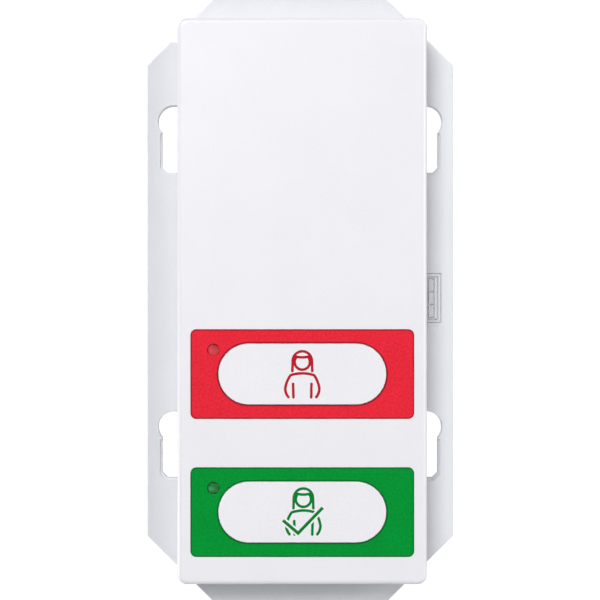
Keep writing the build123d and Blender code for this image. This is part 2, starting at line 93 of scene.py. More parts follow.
class Finish:
    """A procedural material under construction, with its shader and its object coordinates."""

    def __init__(self, name, roughness, metallic=0.0):
        self.material = bpy.data.materials.new(name)
        self.material.use_nodes = True
        self.tree = self.material.node_tree
        self.shader = self.tree.nodes["Principled BSDF"]
        self.shader.inputs["Roughness"].default_value = roughness
        self.shader.inputs["Metallic"].default_value = metallic
        self.place = self.tree.nodes.new("ShaderNodeTexCoord").outputs["Object"]

    def add(self, kind, **settings):
        node = self.tree.nodes.new(kind)
        for key, value in settings.items():
            setattr(node, key, value)
        return node

    def link(self, output, target):
        self.tree.links.new(output, target)

    def noise(self, size, detail=2.0, stretch=None):
        """Noise whose blobs are about that many metres across."""
        node = self.add("ShaderNodeTexNoise")
        node.inputs["Scale"].default_value = 1 / size
        node.inputs["Detail"].default_value = detail
        source = self.place
        if stretch:
            mapping = self.add("ShaderNodeMapping")
            mapping.inputs["Scale"].default_value = stretch
            self.link(self.place, mapping.inputs["Vector"])
            source = mapping.outputs["Vector"]
        self.link(source, node.inputs["Vector"])
        return node.outputs["Fac"]

    def gap_shade_band(self, low, high, inset, corner):
        """1 along the inside edge of a rounded rectangle in X and Z, as wide as the painted shade line,
        else 0; it masks painted shade.
        """
        half = [(high[axis] - low[axis]) / 2 - inset - corner for axis in (0, 2)]
        centre = [(high[axis] + low[axis]) / 2 for axis in (0, 2)]
        place = self.vector("SUBTRACT", self.place, (centre[0], 0, centre[1]))
        place = self.vector("ABSOLUTE", place)
        place = self.vector("SUBTRACT", place, (half[0], 1, half[1]))
        place = self.vector("MAXIMUM", place, (0, 0, 0))
        length = self.add("ShaderNodeVectorMath", operation="LENGTH")
        self.link(place, length.inputs[0])
        shade_line = self.add("ShaderNodeMath", operation="COMPARE")
        self.link(length.outputs["Value"], shade_line.inputs[0])
        shade_line.inputs[1].default_value = corner
        shade_line.inputs[2].default_value = GAP_SHADE_WIDTH
        return shade_line.outputs["Value"]

    def faces_along_y(self):
        """1 on faces that look along Y, 0 on the edges round them."""
        normal = self.add("ShaderNodeTexCoord").outputs["Normal"]
        split = self.add("ShaderNodeSeparateXYZ")
        self.link(self.vector("ABSOLUTE", normal), split.inputs["Vector"])
        facing = self.add("ShaderNodeMath", operation="GREATER_THAN")
        self.link(split.outputs["Y"], facing.inputs[0])
        facing.inputs[1].default_value = FACING_Y
        return facing.outputs["Value"]

    def vector(self, operation, first, second=None):
        node = self.add("ShaderNodeVectorMath", operation=operation)
        self.link(first, node.inputs[0])
        if second:
            node.inputs[1].default_value = second
        return node.outputs["Vector"]

    def ramp(self, factor, stops):
        node = self.add("ShaderNodeValToRGB")
        elements = node.color_ramp.elements
        while len(elements) < len(stops):
            elements.new(0.5)
        for element, (position, colour) in zip(elements, stops):
            element.position = position
            element.color = colour
        self.link(factor, node.inputs["Fac"])
        return node.outputs["Color"]

    def mix(self, factor, first, second, blend="MIX"):
        node = self.add("ShaderNodeMix", data_type="RGBA", blend_type=blend)
        for socket, value in (("Factor", factor), ("A", first), ("B", second)):
            target = next(s for s in node.inputs if s.name == socket and s.enabled)
            if isinstance(value, bpy.types.NodeSocket):
                self.link(value, target)
            else:
                target.default_value = value
        return next(s for s in node.outputs if s.enabled)

    def colour(self, output):
        self.link(output, self.shader.inputs["Base Color"])

    def roughness(self, factor, low, high):
        node = self.add("ShaderNodeMapRange")
        node.inputs["To Min"].default_value = low
        node.inputs["To Max"].default_value = high
        self.link(factor, node.inputs["Value"])
        self.link(node.outputs["Result"], self.shader.inputs["Roughness"])

    def bump(self, height, depth, strength=0.5):
        node = self.add("ShaderNodeBump")
        node.inputs["Distance"].default_value = depth
        node.inputs["Strength"].default_value = strength
        self.link(height, node.inputs["Height"])
        self.link(node.outputs["Normal"], self.shader.inputs["Normal"])

    def set(self, **values):
        for name, value in values.items():
            self.shader.inputs[name.replace("_", " ")].default_value = value


def moulded(name, colour, roughness, grain=0.35 * MM, level=0.4, mottle=0.02):
    """Moulded plastic: soft mottling, a few specks and an eroded grain."""
    finish = Finish(name, roughness)
    cloud = finish.noise(14 * MM, 3.0)
    fine = finish.noise(grain, 3.0)
    low, high = shaded(colour, 1 - mottle), shaded(colour, 1 + mottle)
    base = finish.ramp(cloud, [(0.3, low), (0.7, high)])
    speck = finish.ramp(fine, [(0.3, shaded((1, 1, 1), 1 - 2.5 * mottle)), (0.62, (1, 1, 1, 1))])
    finish.colour(finish.mix(1.0, base, speck, "MULTIPLY"))
    finish.roughness(fine, roughness - 0.06, roughness + 0.08)
    finish.bump(fine, GRAIN_DEPTH)
    finish.set(Specular_IOR_Level=level)
    return finish.material


def inlay(name, colour, gap_shade_colour, field_node, key_node, level):
    """Coloured inlay with painted shade: a darker line along its outer edge and round the key's window,
    standing in for the shade in the gaps to the cover and to the key.
    """
    finish = Finish(name, 0.6)
    cloud = finish.noise(5 * MM, 3.0)
    fine = finish.noise(0.5 * MM, 2.0)
    base = finish.ramp(cloud, [(0.3, shaded(colour, 0.97)), (0.7, shaded(colour, 1.05))])
    speck = finish.ramp(fine, [(0.32, (0.78, 0.78, 0.78, 1)), (0.68, (1, 1, 1, 1))])
    base = finish.mix(1.0, base, speck, "MULTIPLY")
    low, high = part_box(field_node)
    key_low, key_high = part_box(key_node)
    edge = finish.gap_shade_band(low, high, 0.0, FIELD_CORNER)
    window_radius = (key_high[2] - key_low[2]) / 2 - WINDOW_INSET
    ring = finish.gap_shade_band(key_low, key_high, WINDOW_INSET, window_radius)
    # painted shade: darker lines where the gaps to the cover and to the key fall in shade
    for shade_line in (edge, ring):
        base = finish.mix(shade_line, base, gap_shade_colour)
    finish.colour(base)
    finish.roughness(fine, 0.54, 0.68)
    finish.bump(fine, GRAIN_DEPTH)
    finish.set(Specular_IOR_Level=level)
    return finish.material


def clear_plastic(name, colour, dark):
    """Tinted clear plastic of a light guide, with faint flow lines."""
    finish = Finish(name, 0.22)
    flow = finish.noise(1.2 * MM, 2.0)
    finish.colour(finish.ramp(flow, [(0.35, dark), (0.65, colour)]))
    finish.roughness(flow, 0.16, 0.3)
    finish.set(Transmission_Weight=0.25, IOR=1.49)
    return finish.material


def metal(name, colour, roughness):
    """Plated or rolled metal with fine lines and slightly uneven tone."""
    finish = Finish(name, roughness, metallic=1.0)
    lines = finish.noise(0.6 * MM, 4.0)
    tone = finish.noise(5 * MM, 2.0)
    low, high = shaded(colour, 0.82), shaded(colour, 1.05)
    base = finish.ramp(lines, [(0.3, low), (0.7, high)])
    tint = finish.ramp(tone, [(0.3, (0.9, 0.89, 0.88, 1)), (0.7, (1, 1, 1, 1))])
    finish.colour(finish.mix(1.0, base, tint, "MULTIPLY"))
    finish.roughness(lines, roughness - 0.08, roughness + 0.12)
    finish.bump(lines, 0.006 * MM, 0.4)
    return finish.material


def laminate(name):
    """Green solder resist over copper tracks, with small plated vias, and bare sawn edges."""
    finish = Finish(name, 0.35)
    flat = finish.add("ShaderNodeMapping")
    flat.inputs["Rotation"].default_value = (math.pi / 2, 0, 0)
    finish.link(finish.place, flat.inputs["Vector"])
    resist = finish.ramp(finish.noise(0.5 * MM, 2.0), [(0.3, linear(8, 72, 40)), (0.7, linear(13, 84, 48))])
    relief = None
    for size, squash, offset in ((3.1 * MM, 2.3, 0.37), (5.3 * MM, 0.6, 0.61)):
        tracks = finish.add("ShaderNodeTexBrick", offset=offset, squash=squash)
        tracks.inputs["Scale"].default_value = 1 / size
        tracks.inputs["Mortar Size"].default_value = 0.12 * MM / size
        tracks.inputs["Mortar Smooth"].default_value = 0.1
        finish.link(flat.outputs["Vector"], tracks.inputs["Vector"])
        resist = finish.mix(tracks.outputs["Fac"], resist, linear(26, 108, 62))
        relief = tracks.outputs["Fac"]
    vias = finish.add("ShaderNodeTexVoronoi", voronoi_dimensions="2D")
    vias.inputs["Scale"].default_value = 1 / (6 * MM)
    finish.link(flat.outputs["Vector"], vias.inputs["Vector"])
    plated = finish.ramp(vias.outputs["Distance"], [(0.04, (1, 1, 1, 1)), (0.055, (0, 0, 0, 1))])
    printed = finish.mix(plated, resist, linear(190, 182, 150))
    glass = finish.noise(0.25 * MM, 2.0, (1.0, 6.0, 1.0))
    sawn = finish.ramp(glass, [(0.3, linear(116, 124, 74)), (0.7, linear(146, 150, 98))])
    finish.colour(finish.mix(finish.faces_along_y(), sawn, printed))
    finish.roughness(relief, 0.3, 0.4)
    finish.bump(relief, 0.02 * MM, 0.5)
    return finish.material


def speckled(name, dark, light, roughness):
    """Fired ceramic or glaze with fine spots."""
    finish = Finish(name, roughness)
    spots = finish.noise(0.3 * MM, 3.0)
    finish.colour(finish.ramp(spots, [(0.3, dark), (0.7, light)]))
    finish.roughness(spots, roughness - 0.05, roughness + 0.1)
    finish.bump(spots, GRAIN_DEPTH)
    return finish.material


WHITE = linear(237, 236, 240)
PLATE_WHITE = linear(220, 222, 226)
FIELD_CORNER = 1.3 * MM
WINDOW_INSET = 0.98 * MM  # from the hidden flange's rim to the edge of the key's window
# width of the painted shade lines along the inlays' gaps
GAP_SHADE_WIDTH = 0.26 * MM

MATERIALS = {
    "cover_plastic": moulded("cover_plastic", WHITE, 0.36, level=0.5, mottle=0.012),
    "key_plastic": moulded("key_plastic", WHITE, 0.45, grain=0.5 * MM, mottle=0.016),
    "plate_plastic": moulded("plate_plastic", PLATE_WHITE, 0.5, mottle=0.012),
    "carrier_plastic": moulded("carrier_plastic", linear(206, 208, 211), 0.5),
    # each inlay's second colour is the painted shade of its gaps
    "red_plastic": inlay(
        "red_plastic", linear(239, 43, 61), linear(168, 26, 38), "call_field", "call_key", 0.05
    ),
    "green_plastic": inlay(
        "green_plastic", linear(6, 151, 55), linear(8, 112, 42), "presence_field", "presence_key", 0.03
    ),
    "red_guide": clear_plastic("red_guide", linear(246, 84, 92), linear(226, 66, 78)),
    "green_guide": clear_plastic("green_guide", linear(74, 172, 100), linear(44, 140, 72)),
    "spring_wire": metal("spring_wire", linear(205, 205, 208), 0.3),
    "screw_steel": metal("screw_steel", linear(208, 209, 212), 0.32),
    "board_laminate": laminate("board_laminate"),
    "chip_plastic": moulded("chip_plastic", linear(34, 34, 37), 0.6, mottle=0.05),
    "ceramic_parts": speckled("ceramic_parts", linear(140, 104, 70), linear(172, 134, 94), 0.45),
    "contact_metal": metal("contact_metal", linear(214, 206, 184), 0.28),
    "black_plastic": moulded("black_plastic", linear(38, 38, 41), 0.5, mottle=0.04),
    "stem_plastic": moulded("stem_plastic", linear(196, 84, 40), 0.45, mottle=0.03),
    "lamp_resin": moulded("lamp_resin", linear(236, 230, 208), 0.25, mottle=0.02),
    "housing_plastic": moulded("housing_plastic", linear(190, 192, 195), 0.5, mottle=0.02),
    "terminal_plastic": moulded("terminal_plastic", linear(24, 128, 74), 0.45, mottle=0.03),
    "brass_cage": metal("brass_cage", linear(214, 178, 106), 0.3),
    "can_aluminium": metal("can_aluminium", linear(214, 215, 218), 0.3),
}
RED_INK = moulded("red_ink", linear(184, 30, 44), 0.55, level=0.05, mottle=0.04)
GREEN_INK = moulded("green_ink", linear(10, 128, 48), 0.55, level=0.04, mottle=0.04)
TIN = metal("solder_tin", linear(200, 202, 205), 0.25)
GLAZE = speckled("resistor_glaze", linear(24, 24, 26), linear(44, 44, 48), 0.3)
MARKING = speckled("board_marking", linear(214, 216, 208), linear(232, 233, 226), 0.5)
LAMP_CASE = moulded("lamp_case", linear(238, 238, 234), 0.4)
SPECIAL_FINISH = {"call_symbol": RED_INK, "presence_symbol": GREEN_INK}


def dress_cad_nodes():
    for node, slot in SLOT_OF.items():
        mesh = NODES[node].data
        mesh.materials.clear()
        mesh.materials.append(SPECIAL_FINISH.get(node) or MATERIALS[slot])


# ---- mesh helpers ----
WELD = 1e-7  # vertices closer than this are one
SMOOTH_ANGLE = math.radians(40)  # steeper edges stay sharp
CROWN_STEPS = 4


def new_piece(name, bm, materials, body, replaced=()):
    """Turns a bmesh into a smooth-shaded piece of the object."""
    bmesh.ops.recalc_face_normals(bm, faces=bm.faces)
    for face in bm.faces:
        face.smooth = True
    for edge in bm.edges:
        edge.smooth = edge.calc_face_angle(0) < SMOOTH_ANGLE
    mesh = bpy.data.meshes.new(name)
    bm.to_mesh(mesh)
    bm.free()
    for material in materials:
        mesh.materials.append(material)
    piece = bpy.data.objects.new(name, mesh)
    bpy.context.scene.collection.objects.link(piece)
    shading = piece.modifiers.new("even_shading", "WEIGHTED_NORMAL")
    shading.keep_sharp = True
    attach(piece, body)
    if replaced:
        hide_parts(*replaced)
    return piece


def skin(bm, rings, material=0, caps=(True, True)):
    """Faces between successive rings of equal length, closed at the ends that caps names."""
    loops = [[bm.verts.new(point) for point in ring] for ring in rings]
    faces = []
    for first, second in zip(loops, loops[1:]):
        for index in range(len(first)):
            after = (index + 1) % len(first)
            faces.append(bm.faces.new((first[index], first[after], second[after], second[index])))
    if caps[0]:
        faces.append(bm.faces.new(reversed(loops[0])))
    if caps[1]:
        faces.append(bm.faces.new(loops[-1]))
    for face in faces:
        face.material_index = material
    return loops


def holed_face(bm, outer, inner, material=0):
    """Flat face between an outer and an inner loop of vertices."""
    edges = []
    for loop in (outer, inner):
        for index, vertex in enumerate(loop):
            other = loop[(index + 1) % len(loop)]
            edges.append(bm.edges.get((vertex, other)) or bm.edges.new((vertex, other)))
    made = bmesh.ops.triangle_fill(bm, use_beauty=True, use_dissolve=False, edges=edges)
    for item in made["geom"]:
        if isinstance(item, bmesh.types.BMFace):
            item.material_index = material


def circle(x, z, radius, y, count=24):
    turns = [2 * math.pi * index / count for index in range(count)]
    return [(x + radius * math.cos(a), y, z + radius * math.sin(a)) for a in turns]


def rounded(x, z, width, height, corner, y, steps=3):
    """Rounded rectangle about (x, z) at level y."""
    points = []
    for quarter, (sx, sz) in enumerate(((1, 1), (-1, 1), (-1, -1), (1, -1))):
        cx = x + sx * (width / 2 - corner)
        cz = z + sz * (height / 2 - corner)
        for step in range(steps + 1):
            a = math.pi / 2 * (quarter + step / steps)
            points.append((cx + corner * math.cos(a), y, cz + corner * math.sin(a)))
    return points


def turned(bm, x, z, profile, material=0, count=24):
    """Body of revolution about a line along Y, from (radius, y) pairs."""
    skin(bm, [circle(x, z, radius, y, count) for radius, y in profile], material)


def crowned(bm, x, z, width, height, corner, front, rear, soft, material=0):
    """Block between front and rear, with its front edges rounded by soft."""
    rings = [rounded(x, z, width, height, corner, rear)]
    for step in range(CROWN_STEPS):
        a = math.pi / 2 * step / (CROWN_STEPS - 1)
        inset = soft * (1 - math.cos(a))
        level = front + soft * (1 - math.sin(a))
        ring_corner = max(corner - inset, 0.3 * corner)
        rings.append(rounded(x, z, width - 2 * inset, height - 2 * inset, ring_corner, level))
    return skin(bm, rings, material)


def strip(bm, path, x, width, thick, material=0):
    """Bent metal strip of constant width in X along a path of (z, y) points."""
    rings = []
    for index, (z, y) in enumerate(path):
        before, after = path[max(index - 1, 0)], path[min(index + 1, len(path) - 1)]
        along = Vector((after[0] - before[0], after[1] - before[1])).normalized()
        across = Vector((-along.y, along.x)) * thick / 2
        corners = [(x - width / 2, 1), (x + width / 2, 1), (x + width / 2, -1), (x - width / 2, -1)]
        rings.append([(cx, y + side * across.y, z + side * across.x) for cx, side in corners])
    skin(bm, rings, material)


def solids(node):
    """Lowest and highest corner of each separate solid of a CAD node."""
    bm = bmesh.new()
    bm.from_mesh(NODES[node].data)
    bmesh.ops.remove_doubles(bm, verts=bm.verts, dist=WELD)
    boxes, seen = [], set()
    for start in bm.verts:
        if start in seen:
            continue
        seen.add(start)
        stack, island = [start], []
        while stack:
            vertex = stack.pop()
            island.append(vertex.co.copy())
            for edge in vertex.link_edges:
                other = edge.other_vert(vertex)
                if other not in seen:
                    seen.add(other)
                    stack.append(other)
        low = Vector(min(co[axis] for co in island) for axis in range(3))
        high = Vector(max(co[axis] for co in island) for axis in range(3))
        boxes.append((low, high))
    bm.free()
    return sorted(boxes, key=lambda box: (round(box[0].z, 6), round(box[0].x, 6)))


# ---- softened edges ----
SOFTENED = {
    "terminal_plug": 0.14 * MM,
    "terminal_header": 0.12 * MM,
    "terminal_clamps": 0.12 * MM,
    "button_board": 0.06 * MM,
    "control_board": 0.06 * MM,
    "header_block": 0.12 * MM,
    "socket_strip": 0.1 * MM,
    "key_carrier": 0.1 * MM,
    "header_pins": 0.09 * MM,
    "terminal_pins": 0.1 * MM,
    "cover_clips": 0.06 * MM,
}
SHARP_ANGLE = math.radians(30)  # steeper edges get rounded
FLAT_ANGLE = math.radians(0.5)  # faces that differ by less are one face


def soften(node, width):
    """The node's shape with its sharp edges rounded, as moulds, saws and presses leave them."""
    bm = bmesh.new()
    bm.from_mesh(NODES[node].data)
    bmesh.ops.remove_doubles(bm, verts=bm.verts, dist=WELD)
    bmesh.ops.dissolve_limit(bm, angle_limit=FLAT_ANGLE, verts=bm.verts, edges=bm.edges)
    bm.normal_update()
    sharp = [edge for edge in bm.edges if edge.calc_face_angle(0) > SHARP_ANGLE]
    bmesh.ops.bevel(bm, geom=sharp, offset=width, segments=2, profile=0.5, affect="EDGES")
    bmesh.ops.triangulate(bm, faces=[face for face in bm.faces if len(face.verts) > 4])
    slot = SLOT_OF[node]
    new_piece(node + "_detail", bm, [MATERIALS[slot]], BODY_OF[node], [node])


# ---- return springs ----
SPRING_WIRE = 0.4 * MM
SPRING_TURNS = 5.5
CLOSED_TURNS = 0.75  # at each end, lying wire on wire
CLOSED_PITCH = 1.05 * SPRING_WIRE
SPRING_STEPS = 26  # per turn
WIRE_SIDES = 8


def coil_height(turn, length):
    """Rise of the wire's centre line after so many turns."""
    closed_rise = CLOSED_TURNS * CLOSED_PITCH
    if turn < CLOSED_TURNS:
        return closed_rise * turn / CLOSED_TURNS
    if turn > SPRING_TURNS - CLOSED_TURNS:
        return length - closed_rise * (SPRING_TURNS - turn) / CLOSED_TURNS
    share = (turn - CLOSED_TURNS) / (SPRING_TURNS - 2 * CLOSED_TURNS)
    return closed_rise + share * (length - 2 * closed_rise)


def coil(bm, low, high):
    """Compression spring along Y that fills the box, its last turns closed."""
    wire = SPRING_WIRE / 2
    x, z = (low.x + high.x) / 2, (low.z + high.z) / 2
    radius = (high.z - low.z) / 2 - wire
    foot, length = high.y - wire, high.y - low.y - SPRING_WIRE
    rings = []
    for step in range(int(SPRING_TURNS * SPRING_STEPS) + 1):
        turn = step / SPRING_STEPS
        out = Vector((math.cos(2 * math.pi * turn), 0, math.sin(2 * math.pi * turn)))
        centre = Vector((x, foot - coil_height(turn, length), z)) + radius * out
        ring = []
        for side in range(WIRE_SIDES):
            a = 2 * math.pi * side / WIRE_SIDES
            ring.append(centre + wire * (math.cos(a) * out + math.sin(a) * Vector((0, 1, 0))))
        rings.append(ring)
    skin(bm, rings)


def build_springs(key):
    node, joint = key + "_springs", key + "_press"
    bm = bmesh.new()
    boxes = solids(node)
    for low, high in boxes:
        coil(bm, low, high)
    piece = new_piece(key + "_coil_springs", bm, [MATERIALS["spring_wire"]], "cover", [node])
    low, high = boxes[0]
    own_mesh(piece)


# ---- circuit packages ----
LEG_REACH = 0.9 * MM
LEG_THICK = 0.16 * MM
LEG_WIDTH = 0.42 * MM
LEG_PITCH = 1.27 * MM
LEGS = 6  # on each side
LEG_BEND = ((-0.25, 0), (0.22, 0), (0.42, 0.25), (0.55, 0.88), (0.68, 1), (1, 1))  # shares of reach, drop
CHIP_CORNER = 0.15 * MM
CHIP_DRAFT = 0.2 * MM
CHIP_EDGE = 0.08 * MM  # bevel round its top
CHIP_STANDOFF = 0.1 * MM  # gap under the body
MARK_SIDES = 20
MARK_INSET = 1.1 * MM  # first-pin mark, from the sides of the body
MARK_RADIUS = 0.42 * MM
MARK_FLOOR_RADIUS = 0.36 * MM
MARK_DEPTH = 0.1 * MM


def gull_wing(z, y_body, y_board, reach, side):
    """Path of a leg that leaves a body sideways, bends down and ends in a flat foot."""
    drop = y_board - LEG_THICK / 2 - y_body
    return [(z + side * out * reach, y_body + down * drop) for out, down in LEG_BEND]


def build_chip(node):
    """Moulded circuit with drafted sides, a sunk first-pin mark and bent legs."""
    low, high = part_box(node)
    x, z = (low[0] + high[0]) / 2, (low[2] + high[2]) / 2
    width, height = high[0] - low[0], high[2] - low[2] - 2 * LEG_REACH
    top, board = low[1], high[1]
    middle = (top + board) / 2
    bm = bmesh.new()
    levels = [(board - CHIP_STANDOFF, CHIP_DRAFT), (middle, 0)]
    levels += [(top + CHIP_EDGE, CHIP_DRAFT), (top, CHIP_DRAFT + CHIP_EDGE)]
    rings = [rounded(x, z, width - 2 * d, height - 2 * d, CHIP_CORNER, y) for y, d in levels]
    body = skin(bm, rings, caps=(True, False))
    mark_x, mark_z = x - width / 2 + MARK_INSET, z - height / 2 + MARK_INSET
    dish = [(MARK_RADIUS, top), (MARK_FLOOR_RADIUS, top + MARK_DEPTH)]
    mark = skin(bm, [circle(mark_x, mark_z, r, y, MARK_SIDES) for r, y in dish], caps=(False, True))
    holed_face(bm, body[-1], mark[0])
    for index in range(LEGS):
        leg_x = x + (index - (LEGS - 1) / 2) * LEG_PITCH
        for side in (-1, 1):
            path = gull_wing(z + side * height / 2, middle, board, LEG_REACH, side)
            strip(bm, path, leg_x, LEG_WIDTH, LEG_THICK, material=1)
    slot = SLOT_OF[node]
    new_piece(node + "_package", bm, [MATERIALS[slot], TIN], BODY_OF[node], [node])


# ---- chip resistors and capacitors ----
TINNED_END = 0.36 * MM
END_STEP = 0.04 * MM  # the ends stand this much proud of the body
PART_CORNER = 0.09 * MM


def lying_block(bm, x0, x1, z, width, top, board, material):
    """Block along X with rounded long edges."""
    middle, height = (top + board) / 2, board - top
    rings = []
    for x in (x0, x1):
        ring = rounded(z, middle, width, height, PART_CORNER, 0)
        rings.append([(x, across, along) for along, _, across in ring])
    skin(bm, rings, material)


def build_board_parts():
    """Chip resistors with a dark glaze and brown chip capacitors, all with tinned ends."""
    boxes = solids("board_parts")
    lowest = boxes[0][0].z
    bm = bmesh.new()
    for low, high in boxes:
        z, width = (low.z + high.z) / 2, high.z - low.z
        left, right = low.x + TINNED_END, high.x - TINNED_END
        body = 0 if low.z - lowest < WELD else 2  # the lowest row are capacitors
        lying_block(bm, low.x, left, z, width, low.y, high.y, 1)
        lying_block(bm, right, high.x, z, width, low.y, high.y, 1)
        lying_block(bm, left, right, z, width - 2 * END_STEP, low.y + END_STEP, high.y, body)
    materials = [MATERIALS["ceramic_parts"], TIN, GLAZE]
    new_piece("chip_parts", bm, materials, "base", ["board_parts"])


# ---- switches ----
SWITCH_CORNER = 0.6 * MM
SWITCH_CORNER_STEPS = 6
RIVET_RISE = 0.15 * MM
RIVET_OFFSET = 2.3 * MM  # from the centre line, each way
RIVET_PROFILE = ((0.4 * MM, 0.15 * MM), (0.38 * MM, 0.05 * MM), (0.24 * MM, 0))  # radius, depth
STEEL_THICK = 0.3 * MM
STEEL_INSET = 0.15 * MM  # inside the base, all round
STEEL_BEND = 0.12 * MM
STEEL_HOLE = 1.66 * MM
HOLE_EDGE = 0.08 * MM
WELL_RADIUS = 1.58 * MM
WELL_DEPTH = 1.1 * MM
WELL_SIDES = 28
RIVET_SIDES = 16
SWITCH_LEG_WIDTH = 0.7 * MM
SWITCH_LEG_OFFSET = 2.2 * MM
SWITCH_LEG_RISE = 1.2 * MM


def sideways_strip(bm, path, x, z, width, material):
    """Leg as strip makes it, but reaching out along X from the body's centre x."""
    before = set(bm.verts)
    strip(bm, path, 0, width, LEG_THICK, material)
    for vertex in bm.verts:
        if vertex not in before:
            across, level, along = vertex.co
            vertex.co = (x + along, level, z + across)


def switch_outline(x, z, size, y):
    return rounded(x, z, size, size, SWITCH_CORNER, y, SWITCH_CORNER_STEPS)


def build_switch(key):
    """Short-travel switch: black base, pressed steel cover with a round hole, riveted corners."""
    node = key + "_switch"
    low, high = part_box(node)
    x, z = (low[0] + high[0]) / 2, (low[2] + high[2]) / 2
    top, board = low[1], high[1]
    size = high[2] - low[2]
    steel_front = top + RIVET_RISE
    steel_rear = steel_front + STEEL_THICK
    bm = bmesh.new()
    rings = [switch_outline(x, z, size, y) for y in (board, steel_rear)]
    base = skin(bm, rings, caps=(True, False))
    rings = [circle(x, z, WELL_RADIUS, y, WELL_SIDES) for y in (steel_rear, steel_rear + WELL_DEPTH)]
    well = skin(bm, rings, caps=(False, True))
    holed_face(bm, base[-1], well[0])
    steel = size - 2 * STEEL_INSET
    levels = [(steel_rear, 0), (steel_front + STEEL_BEND, 0), (steel_front, STEEL_BEND)]
    rings = [switch_outline(x, z, steel - 2 * d, y) for y, d in levels]
    cover = skin(bm, rings, 1, caps=(False, False))
    edge = [(STEEL_HOLE + HOLE_EDGE, steel_front), (STEEL_HOLE, steel_front + HOLE_EDGE)]
    edge.append((STEEL_HOLE, steel_rear))
    rings = [circle(x, z, radius, y, WELL_SIDES) for radius, y in edge]
    rim = skin(bm, rings, 1, caps=(False, False))
    holed_face(bm, cover[-1], rim[0], 1)
    holed_face(bm, cover[0], rim[-1], 1)
    rivet = [(radius, top + depth) for radius, depth in RIVET_PROFILE]
    for dx in (-RIVET_OFFSET, RIVET_OFFSET):
        for dz in (-RIVET_OFFSET, RIVET_OFFSET):
            turned(bm, x + dx, z + dz, rivet, count=RIVET_SIDES)
    reach = (high[0] - low[0] - size) / 2
    for side in (-1, 1):
        for dz in (-SWITCH_LEG_OFFSET, SWITCH_LEG_OFFSET):
            path = gull_wing(side * size / 2, board - SWITCH_LEG_RISE, board, reach, side)
            sideways_strip(bm, path, x, z + dz, SWITCH_LEG_WIDTH, 2)
    slot = SLOT_OF[node]
    materials = [MATERIALS[slot], MATERIALS["screw_steel"], TIN]
    new_piece(node + "_case", bm, materials, BODY_OF[node], [node])


# ---- signal lights ----
DOME_RADIUS = 1.05 * MM
DOME_RISE = 0.4 * MM  # above the case
DOME_FOOT = 0.08 * MM  # straight part below the curve
DOME_STEPS = 6
LAMP_END = 0.5 * MM
LAMP_END_DROP = 0.3 * MM  # the tinned ends are lower than the case
LAMP_END_SHARE = 0.8  # of the case's height
LAMP_CORNER, LAMP_SOFT = 0.2 * MM, 0.1 * MM  # of the case: corner radius, front edge radius
END_CORNER, END_SOFT = 0.1 * MM, 0.06 * MM
DOME_SINK = 0.02 * MM  # the dome starts this far inside the case


def build_lamp(key):
    """Surface-mounted lamp: white case with tinned ends and a clear dome."""
    node = key + "_signal_light"
    low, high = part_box(node)
    x, z = (low[0] + high[0]) / 2, (low[2] + high[2]) / 2
    width, height = high[0] - low[0], high[2] - low[2]
    top, board = low[1], high[1]
    shelf = top + DOME_RISE
    bm = bmesh.new()
    crowned(bm, x, z, width - 2 * LAMP_END, height, LAMP_CORNER, shelf, board, LAMP_SOFT, 1)
    end_height, end_top = height * LAMP_END_SHARE, shelf + LAMP_END_DROP
    for side in (-1, 1):
        end_x = x + side * (width - LAMP_END) / 2
        crowned(bm, end_x, z, LAMP_END, end_height, END_CORNER, end_top, board, END_SOFT, 2)
    spring = shelf - DOME_FOOT
    profile = [(DOME_RADIUS, shelf + DOME_SINK), (DOME_RADIUS, spring)]
    for step in range(1, DOME_STEPS):
        a = math.pi / 2 * step / DOME_STEPS
        profile.append((DOME_RADIUS * math.cos(a), spring - (spring - top) * math.sin(a)))
    turned(bm, x, z, profile)
    slot = SLOT_OF[node]
    new_piece(node + "_lamp", bm, [MATERIALS[slot], LAMP_CASE, TIN], BODY_OF[node], [node])


# ---- solder and printed outlines ----
SOLDER_PROFILE = (  # radius, rise above the board
    (0.85 * MM, 0),
    (0.83 * MM, 0.04 * MM),
    (0.62 * MM, 0.14 * MM),
    (0.48 * MM, 0.3 * MM),
)
SOLDER_SIDES = 20
SOLDER_TIP_RADIUS = 0.43 * MM
SOLDER_TIP_DROP = 0.1 * MM  # below the pin's end
OUTLINE_MARGIN = 0.45 * MM
OUTLINE_WIDTH = 0.18 * MM
OUTLINE_THICK = 0.02 * MM
OUTLINE_CORNER = 0.3 * MM
OUTLINED = (
    "call_switch",
    "presence_switch",
    "board_chip",
    "call_signal_light",
    "presence_signal_light",
    "header_block",
)


def build_solder():
    """Solder cones round the header pins on the front of the button board."""
    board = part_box("button_board")[0][1]
    bm = bmesh.new()
    for low, high in solids("header_pins"):
        x, z = (low.x + high.x) / 2, (low.z + high.z) / 2
        profile = [(radius, board - rise) for radius, rise in SOLDER_PROFILE]
        profile.append((SOLDER_TIP_RADIUS, low.y + SOLDER_TIP_DROP))
        turned(bm, x, z, profile, count=SOLDER_SIDES)
    new_piece("header_solder", bm, [TIN], "base")


def outline_frame(bm, x, z, width, height, level):
    """Thin raised frame printed on a board."""
    levels = (level, level - OUTLINE_THICK)
    outer = [rounded(x, z, width, height, OUTLINE_CORNER, y) for y in levels]
    inner_size = (width - 2 * OUTLINE_WIDTH, height - 2 * OUTLINE_WIDTH)
    inner = [rounded(x, z, *inner_size, OUTLINE_CORNER / 2, y) for y in levels]
    outer_loops = skin(bm, outer, caps=(False, False))
    inner_loops = skin(bm, inner, caps=(False, False))
    for outside, inside in zip(outer_loops, inner_loops):
        for index in range(len(outside)):
            after = (index + 1) % len(outside)
            bm.faces.new((outside[index], outside[after], inside[after], inside[index]))


